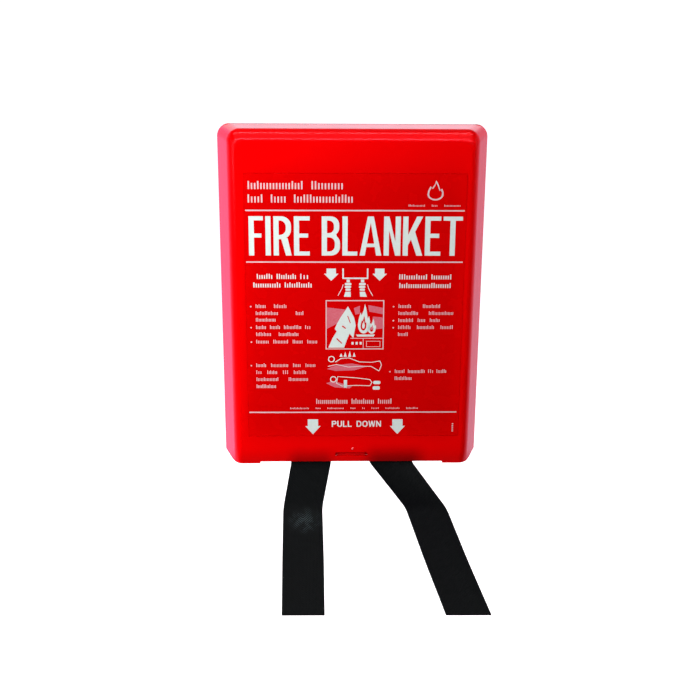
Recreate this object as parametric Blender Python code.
"""Fire blanket in a rigid wall case.

A red moulded case hangs on a wall by two keyholes. It holds a folded
glass-fibre blanket whose two black webbing tapes hang out of the mouth at the
bottom. Pulling the tapes draws the whole pack down and out of the case.

Frame: +X to the right as seen from the front, +Y into the wall, +Z up. The
wall plane is y = 0. The origin lies on the wall plane, midway between the two
keyholes' hanging points. All dimensions below are in millimetres; heights
called zc are measured from the lower edge of the case.
"""

import math

import bmesh
import bpy
from mathutils import Vector

# ---------------------------------------------------------------- dimensions
MM = 0.001
CASE_W = 215.0  # width at the wall
CASE_H = 276.67  # height
CASE_D = 32.63  # wall plane to front face
HANG = 236.67  # height of the hanging points above the lower edge: z = 0
WALL = 2.2  # wall thickness of the front cover
GAP = 0.3  # clearance between neighbouring pieces

SIDE_DRAFT = 9.6  # how far a side wall leans in over WALL_DEPTH
TOP_DRAFT = 1.5  # how far the top wall leans in over WALL_DEPTH
WALL_DEPTH = 26.5
CORNER_R = 10.5  # outline corner radius

AXIS_Y = -5.3  # hinge axis of the cover
AXIS_ZC = CASE_H - 5.0
ROLL_R = 4.95  # the cover's rear top edge stays within this of the axis

LIP_START = 14.0  # the front face rolls back below this height
LIP_R = 44.0
FOOT = 2.0  # the feet reach this far below the mouth's lip
MOUTH_HALF = 76.0  # half the width of the mouth between the feet

SLOT_HALF = 13.4
SLOT_Z = (5.4, 8.9)

TRAY_T = 2.2  # back panel thickness
TRAY_HALF = 104.3
TRAY_TOP = CASE_H - 11.0
RIB_X = (76.2, 78.0)  # guide ribs beside the pack
RIM_X = (98.6, 100.4)  # rim that nests inside the cover
RIB_Y = -25.6
RIM_Y = -10.0
RIB_ZC = (4.0, 252.0)
BAR_Y = (-29.9, -27.7)  # bar across the mouth
BAR_ZC = (14.0, 23.0)
KEY_X = 88.3
KEY_SLOT_R = 2.5
KEY_HEAD_R = 4.8
KEY_DROP = 9.0  # entry hole below the hanging point
PEG_R = 1.5
PEG_HOLE_R = 1.85
LUG_X = (80.0, 83.0)
EAR_X = (83.4, 86.4)
PEG_END = 87.2

TONGUE_HALF = 14.1
NOSE_HALF = 11.5
TONGUE_Y = (-28.6, -27.1)
TONGUE_LOW = 5.0
TONGUE_AXIS_ZC = 12.95
NOSE_ZC = (5.8, 7.5)
NOSE_Y = -31.0

LABEL_X = (-84.9, 88.4)
LABEL_ZC = (24.0, 241.6)
LABEL_T = 0.3
LABEL_POCKET = 0.7

PACK_X = 74.0
PACK_Y = (-24.4, -2.9)
PACK_ZC = (6.0, 261.5)
HEM_X = 67.0
THREAD = 0.45

TAPE_W = 32.5
TAPE_T = 1.3
TAPE_Y = -25.35  # mid-thickness of the tapes where they lie on the pack
MOUTH_ZC = -1.0
ROOT_TOP_ZC = 46.0
NOSE_GAP = 0.25  # a tape segment ends this far from its hinge line

# The cross edges of each tape, left end then right end, at its bend lines:
# at the mouth, at the first bend, halfway down and at the free end (x, y, zc).
LEFT_TAPE = (
    ((-49.8, TAPE_Y, MOUTH_ZC), (-16.8, TAPE_Y, MOUTH_ZC)),
    ((-56.9, -40.0, -38.2), (-24.5, -40.0, -37.5)),
    ((-56.5, -71.0, -71.2), (-23.9, -71.0, -71.2)),
    ((-56.0, -105.0, -101.7), (-23.5, -105.0, -101.9)),
)
RIGHT_TAPE = (
    ((14.1, TAPE_Y, MOUTH_ZC), (50.0, TAPE_Y, MOUTH_ZC)),
    ((46.3, -34.0, -41.2), (79.0, -52.0, -33.6)),
    ((61.5, -66.0, -74.8), (94.0, -81.0, -67.6)),
    ((76.7, -101.3, -104.9), (109.7, -111.7, -98.9)),
)
LEFT_ROOT_X = -33.3
RIGHT_ROOT_X = 32.05


# ------------------------------------------------------------------- helpers
def material(name, colour, roughness, metallic=0.0):
    mat = bpy.data.materials.new(name)
    mat.use_nodes = True
    shader = mat.node_tree.nodes["Principled BSDF"]
    shader.inputs["Base Color"].default_value = (*colour, 1.0)
    shader.inputs["Roughness"].default_value = roughness
    shader.inputs["Metallic"].default_value = metallic
    mat.diffuse_color = (*colour, 1.0)
    return mat


def world(p):
    """A point given as (x, y, zc) in millimetres, in metres in the frame."""
    return Vector((p[0] * MM, p[1] * MM, (p[2] - HANG) * MM))


def empty(name, p, parent=None):
    """An axis marker at (x, y, zc)."""
    obj = bpy.data.objects.new(name, None)
    obj.empty_display_size = 0.01
    bpy.context.scene.collection.objects.link(obj)
    at = world(p)
    if parent is not None:
        obj.parent = parent
        at = at - parent_origin(parent)
    obj.location = at
    return obj


def parent_origin(obj):
    at = Vector((0, 0, 0))
    while obj is not None:
        at = at + obj.location
        obj = obj.parent
    return at


def mesh_object(name, points, faces, mat, parent=None, helper=False):
    """An object from points (x, y, zc), whose own origin is its parent's."""
    base = parent_origin(parent)
    mesh = bpy.data.meshes.new(name)
    mesh.from_pydata([world(p) - base for p in points], [], faces)
    bm = bmesh.new()
    bm.from_mesh(mesh)
    bmesh.ops.remove_doubles(bm, verts=bm.verts, dist=1e-7)
    bmesh.ops.recalc_face_normals(bm, faces=bm.faces)
    if bm.calc_volume(signed=True) < 0:
        bmesh.ops.reverse_faces(bm, faces=bm.faces)
    bm.to_mesh(mesh)
    bm.free()
    obj = bpy.data.objects.new(name, mesh)
    bpy.context.scene.collection.objects.link(obj)
    obj.parent = parent
    if mat is not None:
        mesh.materials.append(mat)
    if helper:
        obj.hide_render = True
        obj.display_type = "WIRE"
    return obj


def box(name, x, y, z, mat=None, parent=None, helper=True):
    points = [(a, b, c) for a in x for b in y for c in z]
    faces = [(0, 1, 3, 2), (4, 6, 7, 5), (0, 4, 5, 1), (2, 3, 7, 6), (0, 2, 6, 4), (1, 5, 7, 3)]
    return mesh_object(name, points, faces, mat, parent, helper)


def prism(name, outline, span, axis, mat=None, parent=None, helper=True):
    """A polygon extruded along X (outline in y, zc) or along Y (outline in x, zc) or Z (outline in x, y)."""
    place = {
        "X": lambda a, b, s: (s, a, b),
        "Y": lambda a, b, s: (a, s, b),
        "Z": lambda a, b, s: (a, b, s),
    }[axis]
    n = len(outline)
    points = [place(a, b, s) for s in span for a, b in outline]
    faces = [tuple(range(n)), tuple(range(2 * n - 1, n - 1, -1))]
    faces += [(i, (i + 1) % n, n + (i + 1) % n, n + i) for i in range(n)]
    return mesh_object(name, points, faces, mat, parent, helper)


def arc(cx, cz, r, start, end, n):
    """Points on a circle, angles in degrees."""
    return [
        (
            cx + r * math.cos(math.radians(start + (end - start) * i / n)),
            cz + r * math.sin(math.radians(start + (end - start) * i / n)),
        )
        for i in range(n + 1)
    ]


def boolean(obj, other, operation):
    mod = obj.modifiers.new(operation.title() + "_" + other.name, "BOOLEAN")
    mod.operation = operation
    mod.solver = "EXACT"
    mod.object = other
    return mod


def smooth(obj, angle=32.0):
    obj.data.shade_smooth()
    obj.data.set_sharp_from_angle(angle=math.radians(angle))


def bevel(obj, width, segments=2, angle=40.0):
    mod = obj.modifiers.new("Edges", "BEVEL")
    mod.width = width * MM
    mod.segments = segments
    mod.limit_method = "ANGLE"
    mod.angle_limit = math.radians(angle)
    return mod


# -------------------------------------------------------------- clear scene
for old in list(bpy.data.objects):
    bpy.data.objects.remove(old, do_unlink=True)

RED = material("case_red_gloss", (0.80, 0.0, 0.003), 0.28)
TRAY_RED = material("tray_red", (0.62, 0.0, 0.004), 0.38)
LABEL = material("label_vinyl", (0.72, 0.0, 0.003), 0.22)
CLOTH = material("glass_cloth", (0.83, 0.81, 0.74), 0.85)
THREAD_WHITE = material("glass_thread", (0.90, 0.88, 0.80), 0.8)
WEB = material("black_webbing", (0.008, 0.009, 0.010), 0.75)
THREAD_BLACK = material("black_thread", (0.02, 0.02, 0.022), 0.6)

# The joints' axes.
cover_axis = empty("cover_axis", (0, AXIS_Y, AXIS_ZC))
latch_axis = empty("latch_axis", (0, sum(TONGUE_Y) / 2, TONGUE_AXIS_ZC))
pack_axis = empty("pack_axis", (0, sum(PACK_Y) / 2, PACK_ZC[0]))


# ------------------------------------------------------------------- cover
def drafted(depth):
    """Side and top offsets of the case wall at a depth from the wall plane."""
    return SIDE_DRAFT * depth / WALL_DEPTH, TOP_DRAFT * depth / WALL_DEPTH


def rear_depth(zc, least):
    """Depth of the cover's rear edge: it rolls forward above the hinge axis."""
    rise = zc - AXIS_ZC
    if rise <= 0:
        return least
    return max(least, -AXIS_Y - math.sqrt(max(ROLL_R**2 - rise**2, 0.0)))


def lip(zc):
    """How far the front wall is rolled back at a height."""
    if zc >= LIP_START:
        return 0.0
    return LIP_R - math.sqrt(LIP_R**2 - (LIP_START - zc) ** 2)


def bottom(depth):
    """Height of the cover's lower edge at a depth."""
    return -FOOT * min(1.0, depth / 31.0)


# Heights along a leg of the U: shares of the way down the rolled lip, then
# shares of the straight way up to the corner.
ROLLED = (1.0, 0.75, 0.5, 0.25)
STRAIGHT = (0.0, 0.33, 0.66, 1.0)
CORNER = 5


def leg_heights(base, high, radius):
    """Heights of the points up one leg of a ring."""
    rolled = [LIP_START + (base - LIP_START) * h for h in ROLLED]
    return rolled + [LIP_START + (high - radius - LIP_START) * h for h in STRAIGHT]


def u_ring(depth, side, top, radius, rear=False):
    """One inverted U around the cover, from its lower left end over the top to
    its lower right end, inset by a side and a top offset."""
    half, high = CASE_W / 2 - side, CASE_H - top
    base = bottom(depth)
    left = [(-half, z) for z in leg_heights(base, high, radius)]
    left += arc(-half + radius, high - radius, radius, 180, 90, CORNER)[1:]
    points = []
    for x, z in left:
        d = rear_depth(z, depth) if rear else depth
        share = min(1.0, max(0.0, (depth - 20.0) / 10.0))
        points.append((x, -(d - share * lip(z)), z))
    return points + [(-x, y, z) for x, y, z in reversed(points)]


def nested(rings_in):
    """The faces that join each ring to the next."""
    n = len(rings_in[0])
    faces = []
    for k in range(len(rings_in) - 1):
        for i in range(n - 1):
            faces.append((k * n + i, k * n + i + 1, (k + 1) * n + i + 1, (k + 1) * n + i))
    return faces


PHI = 63.0  # the shoulder's first normal leans this far from the front face's, in degrees
SHOULDER_R = (CASE_D - WALL_DEPTH) / (1 - math.cos(math.radians(PHI)))


def shoulder(t):
    """Depth, side offset, top offset and corner radius at a share of the way
    round the shoulder: an arc at the top, flattened to 0.74 at the sides."""
    phi, first = math.radians(PHI * (1 - t)), math.radians(PHI)
    inward = SHOULDER_R * (math.sin(first) - math.sin(phi))
    depth = WALL_DEPTH + SHOULDER_R * (math.cos(phi) - math.cos(first))
    return depth, SIDE_DRAFT + 0.74 * inward, TOP_DRAFT + 0.99 * inward, CORNER_R - 1.9 * t


SHOULDER = [shoulder(t) for t in (0.3, 0.55, 0.78, 1.0)]


def cover_outer(rear):
    ring_set = []
    s, t = drafted(rear)
    ring_set.append(u_ring(rear, s, t + 0.05, CORNER_R, rear=True))
    s, t = drafted(15.0)
    ring_set.append(u_ring(15.0, s, t, CORNER_R))
    ring_set.append(u_ring(WALL_DEPTH, SIDE_DRAFT, TOP_DRAFT, CORNER_R))
    for d, s, t, r in SHOULDER:
        ring_set.append(u_ring(d, s, t, r))
    for share in (0.35, 0.7):
        side = 17.0 + (CASE_W / 2 - 17.0) * share
        top = 11.4 + 120.0 * share
        ring_set.append(u_ring(CASE_D, side, top, 8.6 * (1 - share)))
    return ring_set


def cover_inner(rear):
    ring_set = []
    s, t = drafted(rear)
    ring_set.append(u_ring(rear, s + WALL * 1.06, t + WALL, CORNER_R - WALL, rear=True))
    s, t = drafted(15.0)
    ring_set.append(u_ring(15.0, s + WALL * 1.06, t + WALL, CORNER_R - WALL))
    s, t = drafted(25.2)
    ring_set.append(u_ring(25.2, s + WALL * 1.06, t + WALL, CORNER_R - WALL))
    for (d, s, t, r), (dd, ds, dt) in zip(SHOULDER, ((1.5, 1.9, 2.4), (1.9, 1.8, 2.2), (2.1, 1.7, 2.1), (WALL, 1.5, 2.0))):
        ring_set.append(u_ring(d - dd, s + ds, t + dt, r - 1.6))
    for share in (0.35, 0.7):
        side = 18.5 + (CASE_W / 2 - 18.5) * share
        top = 13.4 + 120.0 * share
        ring_set.append(u_ring(CASE_D - WALL, side, top, 7.0 * (1 - share)))
    return ring_set


def cover_shell():
    """The closed skin of the cover: an outer and an inner set of nested rings,
    joined along the rear edge and along the lower edge."""
    outer, inner = cover_outer(GAP), cover_inner(GAP)
    n = len(outer[0])
    for a, b in zip(outer, inner):  # the two skins end at one height below
        a_low = a[0][2]
        b[0] = (b[0][0], b[0][1], a_low)
        b[-1] = (b[-1][0], b[-1][1], a_low)
    m = len(outer)
    points = [p for r in outer for p in r] + [p for r in inner for p in r]
    faces = nested(outer)
    shift = m * n
    faces += [tuple(shift + i for i in reversed(f)) for f in nested(inner)]
    # the innermost rings close across the middle of the face
    for off in (0, shift):
        last = off + (m - 1) * n
        for i in range(n // 2 - 1):
            f = (last + i, last + i + 1, last + n - 2 - i, last + n - 1 - i)
            faces.append(f if off == 0 else tuple(reversed(f)))
    for i in range(n - 1):  # rear edge
        faces.append((i, i + 1, shift + i + 1, shift + i))
    for k in range(m - 1):  # lower edges
        faces.append((k * n, (k + 1) * n, shift + (k + 1) * n, shift + k * n))
        e = n - 1
        faces.append((k * n + e, (k + 1) * n + e, shift + (k + 1) * n + e, shift + k * n + e))
    last = (m - 1) * n
    faces.append((last, last + n - 1, shift + last + n - 1, shift + last))
    return points, faces


points, faces = cover_shell()
front_cover = mesh_object("front_cover", points, faces, RED, cover_axis)

# Mouth: the lip between the feet is cut back, with sloping ends.
boolean(
    front_cover,
    prism(
        "cut_mouth",
        [(-MOUTH_HALF - 0.6, -6.0), (MOUTH_HALF + 2.0, -6.0), (MOUTH_HALF, 0.0), (-MOUTH_HALF, 0.0)],
        (-CASE_D - 5.0, -24.5),
        "Y",
        parent=cover_axis,
    ),
    "DIFFERENCE",
)
# Catch slot, a little taller at both ends.
slot = prism(
    "cut_slot",
    [
        (-SLOT_HALF, SLOT_Z[0]),
        (-SLOT_HALF + 1.6, SLOT_Z[0]),
        (-SLOT_HALF + 1.6, SLOT_Z[0] + 0.1),
        (SLOT_HALF - 1.6, SLOT_Z[0] + 0.1),
        (SLOT_HALF - 1.6, SLOT_Z[0]),
        (SLOT_HALF, SLOT_Z[0]),
        (SLOT_HALF, SLOT_Z[1]),
        (-SLOT_HALF, SLOT_Z[1]),
    ],
    (-CASE_D - 5.0, -26.0),
    "Y",
    parent=cover_axis,
)
boolean(front_cover, slot, "DIFFERENCE")
# Shallow pocket for the label.
boolean(
    front_cover,
    box(
        "cut_label_pocket",
        (LABEL_X[0] - GAP, LABEL_X[1] + GAP),
        (-CASE_D - 5.0, -CASE_D + LABEL_POCKET),
        (LABEL_ZC[0] - GAP, LABEL_ZC[1] + GAP),
        parent=cover_axis,
    ),
    "DIFFERENCE",
)
# Pip above the slot.
boolean(
    front_cover,
    prism("add_pip", arc(0.8, 12.3, 0.7, 0, 315, 7), (-CASE_D - 0.35, -CASE_D + 1.2), "Y", parent=cover_axis),
    "UNION",
)
# Hinge ears under the top wall, each with a hole for a peg.
for side in (-1, 1):
    tag = "left" if side < 0 else "right"
    span = sorted((side * EAR_X[0], side * EAR_X[1]))
    outline = arc(AXIS_Y, AXIS_ZC, 3.7, 180, 360, 10)
    outline += [(AXIS_Y + 3.2, AXIS_ZC + 3.4), (AXIS_Y - 3.7, AXIS_ZC + 3.8)]
    ear = prism("add_ear_" + tag, outline, span, "X", parent=cover_axis)
    boolean(front_cover, ear, "UNION")
    hole = prism(
        "cut_ear_hole_" + tag,
        arc(AXIS_Y, AXIS_ZC, PEG_HOLE_R, 0, 337.5, 15),
        (span[0] - 1, span[1] + 1),
        "X",
        parent=cover_axis,
    )
    boolean(front_cover, hole, "DIFFERENCE")
smooth(front_cover)

# ------------------------------------------------------------------- label
front_label = box(
    "front_label",
    LABEL_X,
    (-CASE_D + LABEL_POCKET - GAP - LABEL_T, -CASE_D + LABEL_POCKET - GAP),
    LABEL_ZC,
    LABEL,
    cover_axis,
    helper=False,
)

# -------------------------------------------------------------- rear tray
rear_tray = prism(
    "rear_tray",
    [(-TRAY_HALF, 0.3), (TRAY_HALF, 0.3), (TRAY_HALF, TRAY_TOP), (-TRAY_HALF, TRAY_TOP)],
    (-TRAY_T, 0.0),
    "Y",
    TRAY_RED,
    None,
    helper=False,
)
# Guide ribs and rims: two fins on each side of one strip that lies in the panel.
for side in (-1, 1):
    tag = "left" if side < 0 else "right"
    outline = [
        (RIB_X[0], -0.8),
        (RIB_X[0], RIB_Y),
        (RIB_X[1], RIB_Y),
        (RIB_X[1], -1.6),
        (RIM_X[0], -1.6),
        (RIM_X[0], RIM_Y),
        (RIM_X[1], RIM_Y),
        (RIM_X[1], -0.8),
    ]
    outline = [(side * a, b) for a, b in outline]
    boolean(rear_tray, prism("add_fins_" + tag, outline, RIB_ZC, "Z"), "UNION")
    # the lower end of each rib reaches forward to carry the bar
    boolean(
        rear_tray,
        box("add_rib_end_" + tag, sorted((side * (RIB_X[0] + 0.2), side * (RIB_X[1] - 0.2))), (BAR_Y[0], RIB_Y + 3.0), (BAR_ZC[0], BAR_ZC[1] + 6.0)),
        "UNION",
    )
boolean(rear_tray, box("add_bar", (-RIB_X[1], RIB_X[1]), BAR_Y, BAR_ZC), "UNION")
for side in (-1, 1):
    tag = "left" if side < 0 else "right"
    span = sorted((side * LUG_X[0], side * LUG_X[1]))
    outline = arc(AXIS_Y, AXIS_ZC, 2.4, -60, 180, 9)
    outline += [
        (AXIS_Y - 2.4, AXIS_ZC - 9.0),
        (AXIS_Y + 4.2, AXIS_ZC - 18.0),
        (AXIS_Y + 4.2, AXIS_ZC - 8.0),
        (AXIS_Y + 1.2, AXIS_ZC - 7.0),
    ]
    boolean(rear_tray, prism("add_lug_" + tag, outline, span, "X"), "UNION")
    span = sorted((side * (LUG_X[0] + 1.0), side * PEG_END))
    boolean(rear_tray, prism("add_peg_" + tag, arc(AXIS_Y, AXIS_ZC, PEG_R, 0, 337.5, 15), span, "X"), "UNION")
    # keyhole: a round entry below a narrower slot that ends at the hanging point
    keyhole = arc(side * KEY_X, HANG - KEY_DROP, KEY_HEAD_R, 90 + 31.4, 450 - 31.4, 18)
    keyhole += arc(side * KEY_X, HANG, KEY_SLOT_R, 0, 180, 8)
    boolean(rear_tray, prism("cut_keyhole_" + tag, keyhole, (-TRAY_T - 2.0, 2.0), "Y"), "DIFFERENCE")
smooth(rear_tray)

# ------------------------------------------------------------ latch tongue
mid = sum(TONGUE_Y) / 2
half_t = (TONGUE_Y[1] - TONGUE_Y[0]) / 2
plate = arc(mid, TONGUE_AXIS_ZC, half_t, 0, 180, 8) + [(TONGUE_Y[0], TONGUE_LOW), (TONGUE_Y[1], TONGUE_LOW)]
nose = [
    (TONGUE_Y[0] + 0.5, NOSE_ZC[1] + 1.6),
    (TONGUE_Y[0], NOSE_ZC[1] + 1.4),
    (NOSE_Y + 0.5, NOSE_ZC[1]),
    (NOSE_Y, NOSE_ZC[1] - 0.4),
    (NOSE_Y, NOSE_ZC[0] + 0.4),
    (NOSE_Y + 0.5, NOSE_ZC[0]),
    (TONGUE_Y[0] + 0.5, NOSE_ZC[0]),
]
latch_tongue = prism("latch_tongue", plate, (-TONGUE_HALF, TONGUE_HALF), "X", TRAY_RED, latch_axis, helper=False)
boolean(latch_tongue, prism("add_nose", nose, (-NOSE_HALF, NOSE_HALF), "X", parent=latch_axis), "UNION")
smooth(latch_tongue)

# ----------------------------------------------------------------- blanket
folded_blanket = box("folded_blanket", (-PACK_X, PACK_X), PACK_Y, PACK_ZC, CLOTH, pack_axis, helper=False)
bevel(folded_blanket, 4.0, 3)
smooth(folded_blanket, 50)

hem_stitching = box(
    "hem_stitching",
    (HEM_X, HEM_X + 0.7),
    (PACK_Y[0] - GAP - THREAD, PACK_Y[0] - GAP),
    (PACK_ZC[0] + 6.0, PACK_ZC[1] - 6.0),
    THREAD_WHITE,
    pack_axis,
    helper=False,
)


# ------------------------------------------------------------------- tapes
def lerp(a, b, t):
    return tuple(u + (v - u) * t for u, v in zip(a, b))


def cross_edge(edge, t):
    return lerp(edge[0], edge[1], t)


def strip(name, edge_a, edge_b, mat, parent, free_a=False, free_b=False, steps=6, across=4):
    """A piece of webbing between two cross edges. Its hinged ends are rounded."""
    a0, a1, b0, b1 = (Vector(p) for p in (*edge_a, *edge_b))
    mid_a, mid_b = (a0 + a1) / 2, (b0 + b1) / 2
    length = (mid_b - mid_a).length
    half = TAPE_T / 2
    stations = []  # distance along the strip and its half thickness there
    ends = []
    for free in (free_a, free_b):
        if free:
            ends.append([(0.0, half)])
        else:
            ends.append([(NOSE_GAP + half * (1 - math.cos(u)), half * max(math.sin(u), 0.12)) for u in (0.0, math.pi / 6, math.pi / 3, math.pi / 2)])
    stations += ends[0]
    first, last = ends[0][-1][0], length - ends[1][-1][0]
    stations += [(first + (last - first) * i / steps, half) for i in range(1, steps)]
    stations += [(length - d, h) for d, h in reversed(ends[1])]
    points = []
    for d, h in stations:
        t = d / length
        left, right = a0.lerp(b0, t), a1.lerp(b1, t)
        along = (b0 - a0).lerp(b1 - a1, 0.5).normalized()
        side = (right - left).normalized()
        normal = side.cross(along).normalized()
        for face in (-1, 1):
            for j in range(across + 1):
                points.append(left.lerp(right, j / across) + normal * h * face)
    n = across + 1
    row = 2 * n
    faces = []
    for k in range(len(stations) - 1):
        p, q = k * row, (k + 1) * row
        for j in range(across):
            faces.append((p + j, p + j + 1, q + j + 1, q + j))
            faces.append((p + n + j, q + n + j, q + n + j + 1, p + n + j + 1))
        faces.append((p, q, q + n, p + n))
        faces.append((p + across, p + n + across, q + n + across, q + across))
    e = (len(stations) - 1) * row
    for j in range(across):
        faces.append((j, n + j, n + j + 1, j + 1))
        faces.append((e + j, e + j + 1, e + n + j + 1, e + n + j))
    obj = mesh_object(name, points, faces, mat, parent)
    smooth(obj, 50)
    return obj


def stitched_box(name, cx, parent):
    """One thread sewn as a square with both diagonals, on the tape's root."""
    y = (TAPE_Y - TAPE_T / 2 - GAP - THREAD, TAPE_Y - TAPE_T / 2 - GAP)
    low, high, reach, w = 27.5, 42.5, 11.5, 0.45
    obj = prism(
        name,
        [(cx - reach, low), (cx + reach, low), (cx + reach, high), (cx - reach, high)],
        y,
        "Y",
        THREAD_BLACK,
        parent,
        helper=False,
    )
    # four triangular windows leave the square's sides and its diagonals
    mid_z = (low + high) / 2
    in_x, in_z = reach - 2 * w, (high - low) / 2 - 2 * w
    k = in_z / in_x
    gap = w * math.sqrt(1 + k * k)
    windows = {
        "low": [(-in_x + gap / k, -in_z), (in_x - gap / k, -in_z), (0, -gap)],
        "high": [(-in_x + gap / k, in_z), (in_x - gap / k, in_z), (0, gap)],
        "left": [(-in_x, -in_z + gap), (-gap / k, 0), (-in_x, in_z - gap)],
        "right": [(in_x, -in_z + gap), (gap / k, 0), (in_x, in_z - gap)],
    }
    for key, shape in windows.items():
        cutter = prism("cut_" + name + "_" + key, [(cx + a, mid_z + b) for a, b in shape], (y[0] - 1, y[1] + 1), "Y", parent=parent)
        boolean(obj, cutter, "DIFFERENCE")
    return obj


for tag, edges, root_x in (("left", LEFT_TAPE, LEFT_ROOT_X), ("right", RIGHT_TAPE, RIGHT_ROOT_X)):
    top_edge = ((root_x - TAPE_W / 2, TAPE_Y, ROOT_TOP_ZC), (root_x + TAPE_W / 2, TAPE_Y, ROOT_TOP_ZC))
    low_edge = ((root_x - TAPE_W / 2, TAPE_Y, MOUTH_ZC), (root_x + TAPE_W / 2, TAPE_Y, MOUTH_ZC))
    strip(tag + "_tape_root", top_edge, low_edge, WEB, pack_axis, free_a=True, steps=4)
    stitched_box(tag + "_tape_stitching", root_x, pack_axis)
    parent = pack_axis
    for i, part_name in enumerate(("upper", "middle", "lower")):
        hinge_mid = lerp(edges[i][0], edges[i][1], 0.5)
        parent = empty(tag + "_tape_" + part_name + "_axis", hinge_mid, parent)
        strip(tag + "_tape_" + part_name, edges[i], edges[i + 1], WEB, parent, free_b=(i == 2))
